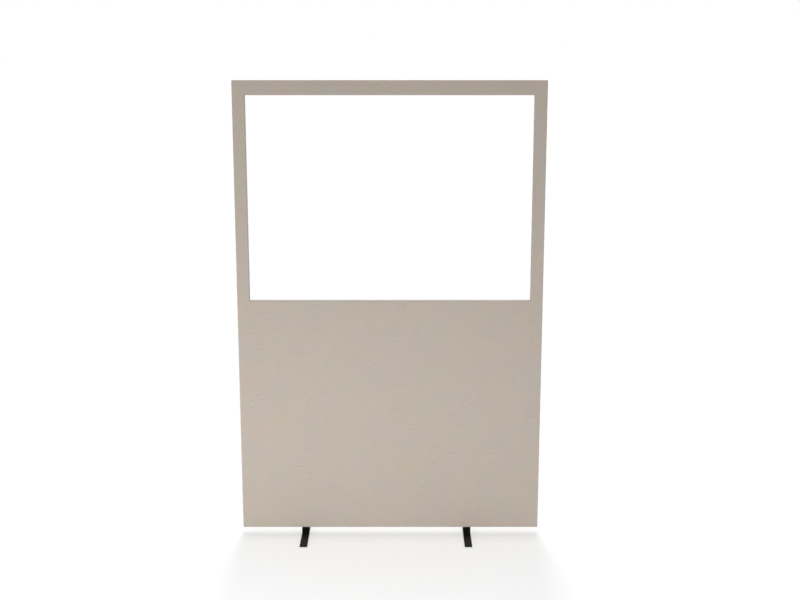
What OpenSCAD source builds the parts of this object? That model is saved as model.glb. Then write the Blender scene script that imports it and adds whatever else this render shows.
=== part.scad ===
// Free-standing acoustic divider screen: a fabric-covered timber frame with a glazed window on two T feet.
// Millimetres. X runs along the panel, -Y is the front, Z is up from the floor. The panel is centred on x = 0.

/* [Panel] */
// Width of the panel over its fabric
panel_w = 1200; // [900:10:1600]
// Height of the panel without its feet
panel_h = 1800; // [1500:10:2000]
// Thickness of the panel over both fabric faces
panel_t = 30; // [28:1:40]
// Radius that the fabric takes over the padded edges
edge_r = 3; // [2:0.5:4]

/* [Window] */
// Fabric width that shows beside the window
jamb_w = 48; // [40:1:80]
// Fabric height that shows above the window
head_h = 56; // [50:1:90]
// Clear height of the window
window_h = 800; // [400:10:1000]
// Thickness of the clear pane
pane_t = 4; // [3:0.5:6]
// Depth that the pane reaches past the window edge
pane_bite = 9; // [7:0.5:12]
// Room that the pane has to expand
pane_gap = 2; // [1:0.5:3]
// Wall of the glazing channel beside the pane
channel_wall = 1.5; // [1:0.1:2]
// Floor of the glazing channel under the pane's edge
channel_floor = 2; // [1.5:0.1:3]

/* [Timber frame] */
// Height of the rail under the window
middle_rail_h = 44; // [40:1:70]
// Height of the rail that carries the feet
bottom_rail_h = 60; // [50:1:90]
// Width of the stud in the middle of the lower bay
stud_w = 44; // [36:1:80]
// Diameter of the frame dowels
dowel_d = 8; // [6:1:10]
// Length of the frame dowels
dowel_l = 40; // [30:2:50]
// Chamfer at both ends of a dowel
dowel_chamfer = 1; // [0.5:0.1:1.5]

/* [Cover and filling] */
// Thickness of the woven cover
fabric_t = 1; // [0.6:0.1:1.5]
// Thickness of the felt wadding under each face
wadding_t = 3; // [2:0.5:5]
// Thickness of the spline that locks the hems in the edge groove
spline_t = 2; // [1.5:0.1:3]
// Depth of the edge groove in the timber
spline_d = 8; // [6:0.5:10]
// Distance that the spline lies below the fabric of the edge
spline_recess = 0.5; // [0.2:0.1:1]

/* [Feet] */
// Distance from the panel's left end to the left foot's centre
foot_inset_left = 254; // [120:1:330]
// Distance from the panel's right end to the right foot's centre
foot_inset_right = 288; // [120:1:330]
// Length of the foot bar, front to back
bar_l = 300; // [240:10:400]
// Width of the foot bar and of the block on it
bar_w = 30; // [28:1:50]
// Thickness of the foot bar
bar_t = 5; // [5:0.5:8]
// Corner radius of the foot bar, seen from above
bar_corner_r = 2; // [1:0.5:6]
// Front-to-back depth of the block that carries the panel
block_d = 20; // [16:1:28]
// Height of the block between the bar and the panel
block_h = 24; // [15:1:60]
// Radius of the block's upright corners
block_corner_r = 1.5; // [0.5:0.1:3]
// Leg of the weld between the block and the bar
weld_leg = 3; // [2:0.5:4]
// Diameter of the glide pads
glide_d = 22; // [16:1:26]
// Thickness of the glide pads
glide_t = 2; // [1:0.5:5]
// Distance from a bar end to the rim of its glide pad
glide_end_gap = 5; // [2:0.5:20]

/* [Foot fixings] */
// Thread diameter of the foot bolt
bolt_d = 8; // [6:1:8]
// Length of thread that the bolt has in its insert
bolt_grip = 20; // [14:1:23]
// Wall of the threaded insert
insert_wall = 2; // [1.5:0.1:2.5]
// Length of the threaded insert
insert_l = 24; // [24:1:40]
// Diameter of the pin that stops a foot turning
pin_d = 5; // [4:0.5:6]
// Length of the pin, half of it in the block
pin_l = 20; // [14:1:30]

/* [Hidden] */

// Fineness of round faces
round_fn = 48;
// Length by which a cut runs past what it cuts
overrun = 1;

// Radial clearance of a dowel in its bore, and the room for glue at each of its ends
dowel_fit = 0.05;
glue_room = 1;
// Clearance of a batt in its bay
batt_fit = 0.3;
// Distance that a hem's raw edge stops short of its groove's floor
hem_room = 1;
// Radial clearances of the bolt in steel, of the bolt in its insert, of the insert in timber and of the pin
bolt_play = 0.5;
thread_fit = 0.1;
insert_fit = 0.1;
pin_fit = 0.1;
// Socket in the bolt's head: across flats and depth, as shares of the thread diameter
socket_flat_share = 0.625;
socket_depth_share = 0.35;
socket_sides = 6;
// Head diameter of a countersunk bolt as a share of its thread diameter
head_share = 2;
// Distance of a joint's dowels from the middle of the sound wood, as a share of its width
dowel_spread_share = 0.25;
// Width of a weld as a share of the width of the block
weld_share = 0.9;

// Timber frame
frame_w = panel_w - 2 * fabric_t;
frame_h = panel_h - 2 * fabric_t;
frame_t = panel_t - 2 * fabric_t - 2 * wadding_t;
stile_w = jamb_w - 2 * fabric_t;
rail_end = frame_w / 2 - stile_w;

// Felt under the fabric, rounded at its edges as far as its own thickness allows
core_t = panel_t - 2 * fabric_t;
core_r = min(edge_r - fabric_t, wadding_t);
skin_r = core_r + fabric_t;

// Heights above the floor
bar_top = glide_t + bar_t;
panel_z = bar_top + block_h;
panel_top = panel_z + panel_h;
frame_z = panel_z + fabric_t;
frame_top = panel_top - fabric_t;
window_top = panel_top - head_h;
window_z = window_top - window_h;
bay_z = frame_z + bottom_rail_h;
bay_top = window_z - fabric_t - middle_rail_h;

// Glazing: the channel and, beside it, both covers' hems fill the groove in the timber
window_w = panel_w - 2 * jamb_w;
channel_t = pane_t + 2 * channel_wall;
channel_d = pane_bite + pane_gap + channel_floor;
glazing_groove_t = channel_t + 2 * fabric_t;
glazing_x = window_w / 2 + channel_d;
glazing_z = window_z - channel_d;
glazing_top = window_top + channel_d;

// Edge groove: the spline between both covers' hems fills it
edge_groove_t = spline_t + 2 * fabric_t;

// Fixings of a foot
foot_x = [foot_inset_left - panel_w / 2, panel_w / 2 - foot_inset_right];
insert_d = bolt_d + 2 * thread_fit + 2 * insert_wall;
pin_x = (insert_d / 2 + insert_fit + bar_w / 2) / 2;
bolt_top = frame_z + bolt_grip;

// Colours
fabric_colour = "#bdb1a4";
timber_colour = "#d9bb8c";
dowel_colour = "#c9a36b";
batt_colour = "#9a9c8c";
felt_colour = "#e6e2da";
clear_colour = [0.85, 0.93, 0.95, 0.3];
channel_colour = "#dcdedb";
spline_colour = "#a89c90";
black_colour = "#22211f";
steel_colour = "#b9bcbd";
brass_colour = "#c2a14e";
pad_colour = "#3a3937";

// Box from one corner to the other, given as [from, to] along each axis
module span(x, y, z) {
    translate([x[0], y[0], z[0]])
        cube([x[1] - x[0], y[1] - y[0], z[1] - z[0]]);
}

// What rounding a corner of a section takes away: the corner at the origin, the section beyond it
module rounding(r) {
    difference() {
        translate([-overrun, -overrun])
            square(r + overrun);
        translate([r, r])
            circle(r, $fn = round_fn);
    }
}

// Section of half a panel: front at y = -depth with rounded corners, back at y = back
module half_section(w, depth, r, back) {
    difference() {
        translate([-w / 2, -depth])
            square([w, depth + back]);
        for (turn = [0, 1])
            mirror([turn, 0])
                translate([-w / 2, -depth])
                    rounding(r);
    }
}

// Section of a window through half a panel, flared at the front where the edges are rounded
module flared_section(w, depth, r, back) {
    translate([-w / 2, -depth - overrun])
        square([w, depth + overrun + back]);
    for (turn = [0, 1])
        mirror([turn, 0])
            translate([w / 2, -depth])
                rounding(r);
}

// Sweeps one section along Z and its twin along X, and keeps what both hold: edges meet in mitres
module crossed(z_mid, run_x, run_z) {
    translate([0, 0, z_mid])
        intersection() {
            linear_extrude(run_z + 2 * overrun, center = true)
                children(0);
            rotate([0, -90, 0])
                linear_extrude(run_x + 2 * overrun, center = true)
                    children(1);
        }
}

// Front half of a rounded panel
module front_slab(w, h, depth, r, back) {
    crossed(panel_z + panel_h / 2, w, h) {
        half_section(w, depth, r, back);
        half_section(h, depth, r, back);
    }
}

// Window opening through the front half, grown by a margin on every side
module front_window(margin, depth, r, back) {
    w = window_w + 2 * margin;
    h = window_h + 2 * margin;
    crossed(window_z + window_h / 2, w + 2 * r, h + 2 * r) {
        flared_section(w, depth, r, back);
        flared_section(h, depth, r, back);
    }
}

// Frame of rectangular section in the plane of the panel, open at its foot if it is given no sill
module upright_ring(half_w, low, high, t, band, sill) {
    difference() {
        span([-half_w, half_w], [-t / 2, t / 2], [low, high]);
        span([band - half_w, half_w - band], [-t, t], [sill ? low + band : low - overrun, high - band]);
    }
}

// Grooves that run round the frame: for the spline in its outer edge, for the glazing round the window
module frame_grooves() {
    upright_ring(frame_w / 2 + overrun, frame_z - overrun, frame_top + overrun,
        edge_groove_t, spline_d + overrun, false);
    span([-glazing_x, glazing_x], [-glazing_groove_t / 2, glazing_groove_t / 2], [glazing_z, glazing_top]);
}

// Two dowel places, set evenly about the middle of the sound wood
function dowel_pair(low, high) =
    let (mid = (low + high) / 2, spread = (high - low) * dowel_spread_share)
    [mid - spread, mid + spread];

rail_dowels = concat(
    dowel_pair(glazing_top, frame_top - spline_d),
    dowel_pair(bay_top, glazing_z),
    dowel_pair(frame_z, bay_z)
);
stud_dowels = dowel_pair(-stud_w / 2, stud_w / 2);

// Puts a child at every joint of the frame, its Z axis along the dowel
module at_dowels() {
    for (side = [-1, 1], z = rail_dowels)
        translate([side * rail_end, 0, z])
            rotate([0, 90, 0])
                children();
    for (x = stud_dowels, z = [bay_z, bay_top])
        translate([x, 0, z])
            children();
}

module dowel_bore() {
    cylinder(d = dowel_d + 2 * dowel_fit, h = dowel_l + 2 * glue_room, center = true, $fn = round_fn);
}

module dowel() {
    r = dowel_d / 2;
    half = dowel_l / 2;
    rotate_extrude($fn = round_fn)
        polygon([[0, -half], [r - dowel_chamfer, -half], [r, dowel_chamfer - half],
            [r, half - dowel_chamfer], [r - dowel_chamfer, half], [0, half]]);
}

// Timber of the frame's full thickness with the frame's grooves and dowel bores cut in it
module frame_member(x, z) {
    color(timber_colour)
        difference() {
            span(x, [-frame_t / 2, frame_t / 2], z);
            frame_grooves();
            at_dowels()
                dowel_bore();
        }
}

module stile(side) {
    x = side < 0 ? [-frame_w / 2, -rail_end] : [rail_end, frame_w / 2];
    frame_member(x, [frame_z, frame_top]);
}

module top_rail() {
    frame_member([-rail_end, rail_end], [window_top + fabric_t, frame_top]);
}

module middle_rail() {
    frame_member([-rail_end, rail_end], [bay_top, window_z - fabric_t]);
}

module bottom_rail() {
    color(timber_colour)
        difference() {
            frame_member([-rail_end, rail_end], [frame_z, bay_z]);
            for (x = foot_x)
                translate([x, 0, 0]) {
                    translate([0, 0, frame_z - overrun])
                        cylinder(d = insert_d + 2 * insert_fit, h = insert_l + overrun, $fn = round_fn);
                    pin_hole();
                }
        }
}

module centre_stud() {
    frame_member([-stud_w / 2, stud_w / 2], [bay_z, bay_top]);
}

module frame_dowels() {
    color(dowel_colour)
        at_dowels()
            dowel();
}

// Absorbing batt that fills one half of the lower bay and stands on the bottom rail
module acoustic_batt(side) {
    near = stud_w / 2 + batt_fit;
    far = rail_end - batt_fit;
    half_t = frame_t / 2 - batt_fit;
    color(batt_colour)
        span(side < 0 ? [-far, -near] : [near, far], [-half_t, half_t], [bay_z, bay_top - batt_fit]);
}

// Felt over the whole front of the frame, rounded at its outer edges and round the window
module wadding() {
    color(felt_colour)
        difference() {
            front_slab(frame_w, frame_h, core_t / 2, core_r, -frame_t / 2);
            front_window(fabric_t, core_t / 2, core_r, 0);
        }
}

// Cloth of the front half: face, half of each edge, hems in the edge groove, window reveals and their hems
module front_cloth() {
    edge_hem = fabric_t + spline_d - hem_room;
    window_hem = pane_bite - hem_room;
    difference() {
        front_slab(panel_w, panel_h, panel_t / 2, skin_r, 0);
        difference() {
            front_slab(frame_w, frame_h, core_t / 2, core_r, overrun);
            front_window(fabric_t, core_t / 2, core_r, overrun);
        }
        front_window(0, panel_t / 2, skin_r, overrun);
        span([-panel_w, panel_w], [-spline_t / 2, overrun], [frame_z, panel_top + overrun]);
        span([-glazing_x, glazing_x], [-channel_t / 2, overrun], [glazing_z, glazing_top]);
    }
    translate([0, -(spline_t + fabric_t) / 2, 0])
        upright_ring(panel_w / 2, panel_z, panel_top, fabric_t, edge_hem, false);
    translate([0, -(channel_t + fabric_t) / 2, 0])
        upright_ring(window_w / 2 + window_hem, window_z - window_hem, window_top + window_hem,
            fabric_t, window_hem, true);
}

// A cover is pierced under the panel where the bolts and pins of the feet go through
module fabric_cover(turn) {
    color(fabric_colour)
        difference() {
            mirror([0, turn, 0])
                front_cloth();
            for (x = foot_x)
                translate([x, 0, 0]) {
                    bolt_hole();
                    pin_hole();
                }
        }
}

// Flat strip between two hems in the groove of an upright edge, or along the top between those
module edge_spline_side(side) {
    outer = panel_w / 2 - spline_recess;
    inner = frame_w / 2 - spline_d;
    color(spline_colour)
        span(side < 0 ? [-outer, -inner] : [inner, outer], [-spline_t / 2, spline_t / 2],
            [frame_z, panel_top - spline_recess]);
}

module edge_spline_top() {
    end = frame_w / 2 - spline_d;
    color(spline_colour)
        span([-end, end], [-spline_t / 2, spline_t / 2], [frame_top - spline_d, panel_top - spline_recess]);
}

// Pane: stands on the floor of the bottom channel, with room to expand at its sides and top
module window_pane() {
    half_w = window_w / 2 + pane_bite;
    color(clear_colour)
        span([-half_w, half_w], [-pane_t / 2, pane_t / 2], [glazing_z + channel_floor, window_top + pane_bite]);
}

// One side of the mitred channel round the pane: outer edge from a to b, the window to its left
module glazing_channel(a, b, inner_a, inner_b) {
    color(channel_colour)
        difference() {
            translate([0, channel_t / 2, 0])
                rotate([90, 0, 0])
                    linear_extrude(channel_t)
                        polygon([a, b, inner_b, inner_a]);
            span([channel_floor - glazing_x, glazing_x - channel_floor], [-pane_t / 2, pane_t / 2],
                [glazing_z + channel_floor, glazing_top - channel_floor]);
        }
}

// Corners of the channel's outer edge and of the window, anticlockwise from the lower left
outer_corner = [[-glazing_x, glazing_z], [glazing_x, glazing_z], [glazing_x, glazing_top], [-glazing_x, glazing_top]];
window_corner = [
    [-window_w / 2, window_z], [window_w / 2, window_z],
    [window_w / 2, window_top], [-window_w / 2, window_top]
];

module glazing_side(i) {
    j = (i + 1) % len(outer_corner);
    glazing_channel(outer_corner[i], outer_corner[j], window_corner[i], window_corner[j]);
}

// Rectangle with round corners, centred
module rounded_plan(w, l, r) {
    square([w - 2 * r, l], center = true);
    square([w, l - 2 * r], center = true);
    for (x = [-1, 1], y = [-1, 1])
        translate([x * (w / 2 - r), y * (l / 2 - r)])
            circle(r, $fn = round_fn);
}

// Clearance for the bolt through the bar, the block and the cloth, with its countersink
module bolt_hole() {
    head_r = head_share * bolt_d / 2 + thread_fit;
    shank_r = bolt_d / 2 + bolt_play;
    translate([0, 0, glide_t - overrun]) {
        cylinder(r = shank_r, h = frame_z - glide_t + 2 * overrun, $fn = round_fn);
        cylinder(r1 = head_r + overrun, r2 = shank_r, h = head_r + overrun - shank_r, $fn = round_fn);
    }
}

// Blind hole for the locating pin, half of it below the panel and half above
module pin_hole() {
    translate([pin_x, 0, panel_z - pin_l / 2])
        cylinder(d = pin_d + 2 * pin_fit, h = pin_l + glue_room, $fn = round_fn);
}

module foot_bar(x) {
    color(black_colour)
        translate([x, 0, 0])
            difference() {
                translate([0, 0, glide_t])
                    linear_extrude(bar_t)
                        rounded_plan(bar_w, bar_l, bar_corner_r);
                bolt_hole();
            }
}

// Block between the bar and the panel, with the two weld runs that join it to the bar
module foot_block(x) {
    half_weld = weld_share * bar_w / 2;
    color(black_colour)
        translate([x, 0, 0])
            difference() {
                union() {
                    translate([0, 0, bar_top])
                        linear_extrude(block_h)
                            rounded_plan(bar_w, block_d, block_corner_r);
                    translate([-half_weld, 0, bar_top])
                        rotate([90, 0, 90])
                            linear_extrude(2 * half_weld)
                                polygon([[-block_d / 2 - weld_leg, 0], [block_d / 2 + weld_leg, 0],
                                    [block_d / 2, weld_leg], [-block_d / 2, weld_leg]]);
                }
                bolt_hole();
                pin_hole();
            }
}

// Countersunk socket bolt, its head flush with the underside of the bar
module foot_bolt() {
    head_r = head_share * bolt_d / 2;
    socket_r = socket_flat_share * bolt_d / 2 / cos(180 / socket_sides);
    socket_h = socket_depth_share * bolt_d;
    translate([0, 0, glide_t])
        difference() {
            union() {
                cylinder(d = bolt_d, h = bolt_top - glide_t, $fn = round_fn);
                cylinder(r1 = head_r, r2 = bolt_d / 2, h = head_r - bolt_d / 2, $fn = round_fn);
            }
            translate([0, 0, -overrun])
                cylinder(r = socket_r, h = socket_h + overrun, $fn = socket_sides);
        }
}

module foot_bolts() {
    color(black_colour)
        for (x = foot_x)
            translate([x, 0, 0])
                foot_bolt();
}

module threaded_inserts() {
    color(brass_colour)
        for (x = foot_x)
            translate([x, 0, frame_z])
                difference() {
                    cylinder(d = insert_d, h = insert_l, $fn = round_fn);
                    translate([0, 0, -overrun])
                        cylinder(d = bolt_d + 2 * thread_fit, h = insert_l + 2 * overrun, $fn = round_fn);
                }
}

module locating_pins() {
    color(steel_colour)
        for (x = foot_x)
            translate([x + pin_x, 0, panel_z - pin_l / 2])
                cylinder(d = pin_d, h = pin_l, $fn = round_fn);
}

// Round pads that the foot bars stand on
module foot_glides() {
    reach = bar_l / 2 - glide_end_gap - glide_d / 2;
    color(pad_colour)
        for (x = foot_x, side = [-1, 1])
            translate([x, side * reach, 0])
                cylinder(d = glide_d, h = glide_t, $fn = round_fn);
}

stile(-1);  // stile_left
stile(1);  // stile_right
top_rail();
middle_rail();
bottom_rail();
centre_stud();
frame_dowels();
acoustic_batt(-1);  // acoustic_batt_left
acoustic_batt(1);  // acoustic_batt_right
wadding();  // wadding_front
mirror([0, 1, 0]) wadding();  // wadding_rear
window_pane();
glazing_side(0);  // glazing_channel_bottom
glazing_side(1);  // glazing_channel_right
glazing_side(2);  // glazing_channel_top
glazing_side(3);  // glazing_channel_left
fabric_cover(0);  // fabric_cover_front
fabric_cover(1);  // fabric_cover_rear
edge_spline_side(-1);  // edge_spline_left
edge_spline_side(1);  // edge_spline_right
edge_spline_top();
foot_bar(foot_x[0]);  // foot_bar_left
foot_bar(foot_x[1]);  // foot_bar_right
foot_block(foot_x[0]);  // foot_block_left
foot_block(foot_x[1]);  // foot_block_right
foot_bolts();
threaded_inserts();
locating_pins();
foot_glides();
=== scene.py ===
# Acoustic divider screen with a window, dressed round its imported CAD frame. Metres; the front faces -Y.
import math
import random

import bmesh
import bpy
from mathutils import Matrix, Vector, noise


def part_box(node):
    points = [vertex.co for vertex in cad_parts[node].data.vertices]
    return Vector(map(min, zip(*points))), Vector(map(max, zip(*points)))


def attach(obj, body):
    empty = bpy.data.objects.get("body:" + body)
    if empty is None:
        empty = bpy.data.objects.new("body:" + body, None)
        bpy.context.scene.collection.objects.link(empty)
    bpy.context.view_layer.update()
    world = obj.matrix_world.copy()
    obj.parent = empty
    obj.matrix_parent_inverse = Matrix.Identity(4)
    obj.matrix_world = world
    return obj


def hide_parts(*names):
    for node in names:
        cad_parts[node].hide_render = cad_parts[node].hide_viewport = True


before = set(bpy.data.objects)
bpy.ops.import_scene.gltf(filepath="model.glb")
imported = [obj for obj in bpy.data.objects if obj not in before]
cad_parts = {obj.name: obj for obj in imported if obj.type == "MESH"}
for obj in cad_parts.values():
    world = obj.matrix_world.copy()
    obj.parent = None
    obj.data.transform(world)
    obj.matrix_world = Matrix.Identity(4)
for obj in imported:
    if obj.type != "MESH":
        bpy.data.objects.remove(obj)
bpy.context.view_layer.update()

BODY = "root"
MM = 0.001
SIDES = ("left", "right")
FRONT = -1
REAR = 1

# Places that the frame gives. PANEL and WINDOW are rectangles (x0, x1, z0, z1)
COVER_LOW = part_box("fabric_cover_front")[0]
COVER_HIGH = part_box("fabric_cover_rear")[1]
PANEL = (COVER_LOW.x, COVER_HIGH.x, COVER_LOW.z, COVER_HIGH.z)
HALF_T = COVER_HIGH.y
WINDOW = (
    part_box("glazing_channel_left")[1].x,
    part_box("glazing_channel_right")[0].x,
    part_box("glazing_channel_bottom")[1].z,
    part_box("glazing_channel_top")[0].z,
)
CHANNEL_HALF_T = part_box("glazing_channel_top")[1].y
FELT_LOW, FELT_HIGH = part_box("wadding_front")

# The cloth and the edges that it turns over
CLOTH_T = 0.8 * MM
EDGE_R = 3 * MM
WINDOW_EDGE_R = 2 * MM
CORNER_R = 2.4 * MM
WINDOW_CORNER_R = 1.0 * MM
TURN_R = 0.9 * MM
HEM = 8 * MM
SPLINE_HALF_T = 1.0 * MM
RIM = 6 * MM
WINDOW_RIM = 5 * MM
LATTICE_STEP = 12.5 * MM
ROUND_STEPS = 6
TURN_STEPS = 3

random.seed(11)


# Meshes


def new_piece(name, bm, material, smooth_angle=40.0):
    """An object from a bmesh that rides on the screen's body."""
    mesh = bpy.data.meshes.new(name)
    bm.to_mesh(mesh)
    bm.free()
    mesh.materials.append(material)
    mesh.shade_smooth()
    mesh.set_sharp_from_angle(angle=math.radians(smooth_angle))
    piece = bpy.data.objects.new(name, mesh)
    bpy.context.scene.collection.objects.link(piece)
    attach(piece, BODY)
    return piece


def settle(piece, smooth_angle=40.0):
    """Applies a piece's modifiers to its mesh."""
    graph = bpy.context.evaluated_depsgraph_get()
    mesh = bpy.data.meshes.new_from_object(piece.evaluated_get(graph))
    piece.modifiers.clear()
    old = piece.data
    piece.data = mesh
    bpy.data.meshes.remove(old)
    mesh.shade_smooth()
    mesh.set_sharp_from_angle(angle=math.radians(smooth_angle))


def keep_flats(piece):
    """Keeps broad flat faces flat to the light where they run into small rounded edges."""
    weigh = piece.modifiers.new("flat_faces", "WEIGHTED_NORMAL")
    weigh.mode = "FACE_AREA"
    weigh.keep_sharp = True


def band(bm, a, b):
    """Faces between two closed rows of as many vertices each."""
    for k in range(len(a)):
        n = (k + 1) % len(a)
        bm.faces.new([a[k], a[n], b[n], b[k]])


def arc(steps):
    """Angles of a quarter turn, the first left out."""
    return [math.pi / 2 * i / steps for i in range(1, steps + 1)]


def graded(a, b, step, first=1 * MM, ratio=1.5):
    """Positions from a to b, close together near both ends and at most a step apart between."""
    near = [0.0]
    gap = first
    while gap < step and near[-1] + gap < (b - a) / 2:
        near.append(near[-1] + gap)
        gap *= ratio
    rest = b - a - 2 * near[-1]
    count = max(1, math.ceil(rest / step))
    middle = [near[-1] + rest * i / count for i in range(1, count)]
    return [a + d for d in near + middle] + [b - d for d in reversed(near)]


def grown(rect, by):
    return (rect[0] - by, rect[1] + by, rect[2] - by, rect[3] + by)


def side_length(rect, side):
    return rect[1] - rect[0] if side % 2 == 0 else rect[3] - rect[2]


def side_point(rect, side, along, out):
    """The place at a distance along one side of a rectangle and a distance out from it."""
    x0, x1, z0, z1 = rect
    return (
        (x0 + along, z0 - out),
        (x1 + out, z0 + along),
        (x1 - along, z1 + out),
        (x0 - out, z1 - along),
    )[side]


def ring_reach(rect, side, p, grow, radius):
    """Where a vertex at p along a side of a rectangle goes on that side of a larger one with round corners.

    It gives the distance along, the same with the corner's arc rolled out straight, and the distance out.
    Near a corner the vertices fan out over the arc, up to its middle.
    """
    length = side_length(rect, side)
    half_arc = radius * math.pi / 4
    extra = half_arc - radius + grow
    distance = min(p, length - p)
    fan = max(20 * MM, 2.5 * abs(extra))
    t = min(1.0, distance / fan)
    arc_run = distance + extra * t * t * (3 - 2 * t)
    rolled = radius + arc_run - half_arc - grow
    along = rolled
    out = grow
    if arc_run < half_arc:
        turn = arc_run / radius - math.pi / 4
        along = radius + radius * math.sin(turn) - grow
        out = grow - radius * (1 - math.cos(turn))
    if p < length / 2:
        return along, rolled, out
    return length - along, length - rolled, out


class WindowSheet:
    """A sheet in the panel's plane with a window in it: a lattice, and rings that turn over its edges."""

    def __init__(self, outer, window, step, place):
        self.bm = bmesh.new()
        self.flat = {}
        self.flat_before = {}
        self.last_faces = set()
        self.outer = outer
        self.window = window
        self.xs = self._lines(outer[0], window[0], window[1], outer[1], step)
        self.zs = self._lines(outer[2], window[2], window[3], outer[3], step)
        grid = self.lattice(place)
        self.loops = {
            "outer": self.loop_round(outer, grid),
            "window": self.loop_round(window, grid),
        }

    @staticmethod
    def _lines(a, b, c, d, step):
        return graded(a, b, step) + graded(b, c, step)[1:] + graded(c, d, step)[1:]

    def lattice(self, place):
        """Vertices and faces in rows and columns, with none inside the window."""
        def hollow(x, z):
            return self.window[0] < x < self.window[1] and self.window[2] < z < self.window[3]

        grid = {}
        for i, x in enumerate(self.xs):
            for j, z in enumerate(self.zs):
                if not hollow(x, z):
                    grid[i, j] = self.vertex(place(x, z), (x, z))
        for i in range(len(self.xs) - 1):
            for j in range(len(self.zs) - 1):
                x = (self.xs[i] + self.xs[i + 1]) / 2
                z = (self.zs[j] + self.zs[j + 1]) / 2
                if not hollow(x, z):
                    corners = ((i, j), (i + 1, j), (i + 1, j + 1), (i, j + 1))
                    self.bm.faces.new([grid[c] for c in corners])
        return grid

    def vertex(self, at, flat):
        """A vertex, and its place when the sheet is laid flat."""
        made = self.bm.verts.new(at)
        self.flat[made] = flat
        return made

    def loop_round(self, rect, grid):
        """The vertices round a rectangle of the lattice, each as (vertex, side, distance along it)."""
        i0 = self.xs.index(rect[0])
        i1 = self.xs.index(rect[1])
        j0 = self.zs.index(rect[2])
        j1 = self.zs.index(rect[3])
        loop = [(grid[i, j0], 0, self.xs[i] - rect[0]) for i in range(i0, i1)]
        loop += [(grid[i1, j], 1, self.zs[j] - rect[2]) for j in range(j0, j1)]
        loop += [(grid[i, j1], 2, rect[1] - self.xs[i]) for i in range(i1, i0, -1)]
        loop += [(grid[i0, j], 3, rect[3] - self.zs[j]) for j in range(j1, j0, -1)]
        return loop

    def rings(self, which, path, keep=None):
        """Adds rings of faces. path holds (growth of the rectangle, corner radius, y, growth laid flat).

        The last is None where the ring still lies in the plane of the sheet. keep(side, p) tells which
        vertices of a ring are wanted, and without it all are.
        """
        rect = getattr(self, which)
        for grow, radius, y, flat_out in path:
            loop = self.loops[which]
            made = []
            for vertex, side, p in loop:
                kept = vertex is not None and (keep is None or keep(side, p))
                placed = self._ring_vertex(rect, side, p, grow, radius, y, flat_out) if kept else None
                made.append((placed, side, p))
            for k, (a, b) in enumerate(zip(loop, loop[1:] + loop[:1])):
                c = made[(k + 1) % len(made)]
                d = made[k]
                if a[0] and b[0] and c[0] and d[0]:
                    face = self.bm.faces.new([a[0], b[0], c[0], d[0]])
                    if b[2] == 0:
                        self.last_faces.add(face)
            self.loops[which] = made

    def _ring_vertex(self, rect, side, p, grow, radius, y, flat_out):
        """One vertex of a ring. At a folded corner the side before has a flat place of its own."""
        along, rolled, out = ring_reach(rect, side, p, grow, radius)
        x, z = side_point(rect, side, along, out)
        if flat_out is None:
            return self.vertex((x, y, z), (x, z))
        made = self.vertex((x, y, z), side_point(rect, side, rolled, flat_out))
        if p == 0:
            before = (side - 1) % 4
            run = side_length(rect, before) - rolled
            self.flat_before[made] = side_point(rect, before, run, flat_out)
        return made

    def face_outward(self, side):
        """Turns all faces the same way, the flat of the sheet towards its own side of the panel."""
        bmesh.ops.recalc_face_normals(self.bm, faces=self.bm.faces)
        self.bm.faces.ensure_lookup_table()
        if self.bm.faces[0].normal.y * side < 0:
            bmesh.ops.reverse_faces(self.bm, faces=self.bm.faces)

    def write_flat_map(self):
        """Lays the sheet flat as a map in metres. A weave runs on over its edges to the folded corners."""
        layer = self.bm.loops.layers.uv.new("cloth")
        for face in self.bm.faces:
            for corner in face.loops:
                flat = self.flat[corner.vert]
                if face in self.last_faces:
                    flat = self.flat_before.get(corner.vert, flat)
                corner[layer].uv = flat


# The cloth covers and the felt under them


def edge_distance(x, z):
    """Distance of a place on the panel's face from the nearest edge of the cloth."""
    outer = min(x - PANEL[0], PANEL[1] - x, z - PANEL[2], PANEL[3] - z)
    dx = max(WINDOW[0] - x, 0, x - WINDOW[1])
    dz = max(WINDOW[2] - z, 0, z - WINDOW[3])
    return max(0.0, min(outer, math.hypot(dx, dz)))


def relief(x, z, side):
    """How far the cloth stands proud: crowned by the felt, uneven, drawn at the window's corners."""
    slope = 22 * MM
    crown = 0.30 * MM
    unevenness = 0.14 * MM
    draw = 0.22 * MM
    draw_fade = 60 * MM
    draw_reach = 0.25
    draws_round = 8
    fade = 1 - math.exp(-edge_distance(x, z) / slope)
    seed = 3.7 * side
    broad = noise.noise(Vector((x * 6, z * 6, seed)))
    small = noise.noise(Vector((x * 17, z * 17, seed)))
    height = fade * (crown + unevenness * (broad + 0.5 * small))
    for cx in WINDOW[:2]:
        for cz in WINDOW[2:]:
            away = math.hypot(x - cx, z - cz)
            if away < draw_reach:
                turn = math.atan2(z - cz, x - cx)
                height += fade * draw * math.exp(-away / draw_fade) * math.cos(draws_round * turn + seed)
    return height


def outer_path(side):
    """Over the panel's edge: rounding, and the return towards the middle of the edge."""
    path = [(RIM - EDGE_R, 0.0, side * HALF_T, None)]
    flat = RIM - EDGE_R
    for t in arc(ROUND_STEPS):
        flat += EDGE_R * math.pi / 2 / ROUND_STEPS
        grow = RIM - EDGE_R * (1 - math.sin(t))
        y = side * (HALF_T - EDGE_R * (1 - math.cos(t)))
        path.append((grow, CORNER_R * math.sin(t), y, flat))
    start = HALF_T - EDGE_R
    end = SPLINE_HALF_T + TURN_R
    for share in (0.35, 0.7, 1.0):
        y = start + (end - start) * share
        path.append((RIM, CORNER_R, side * y, flat + start - y))
    return path


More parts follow.
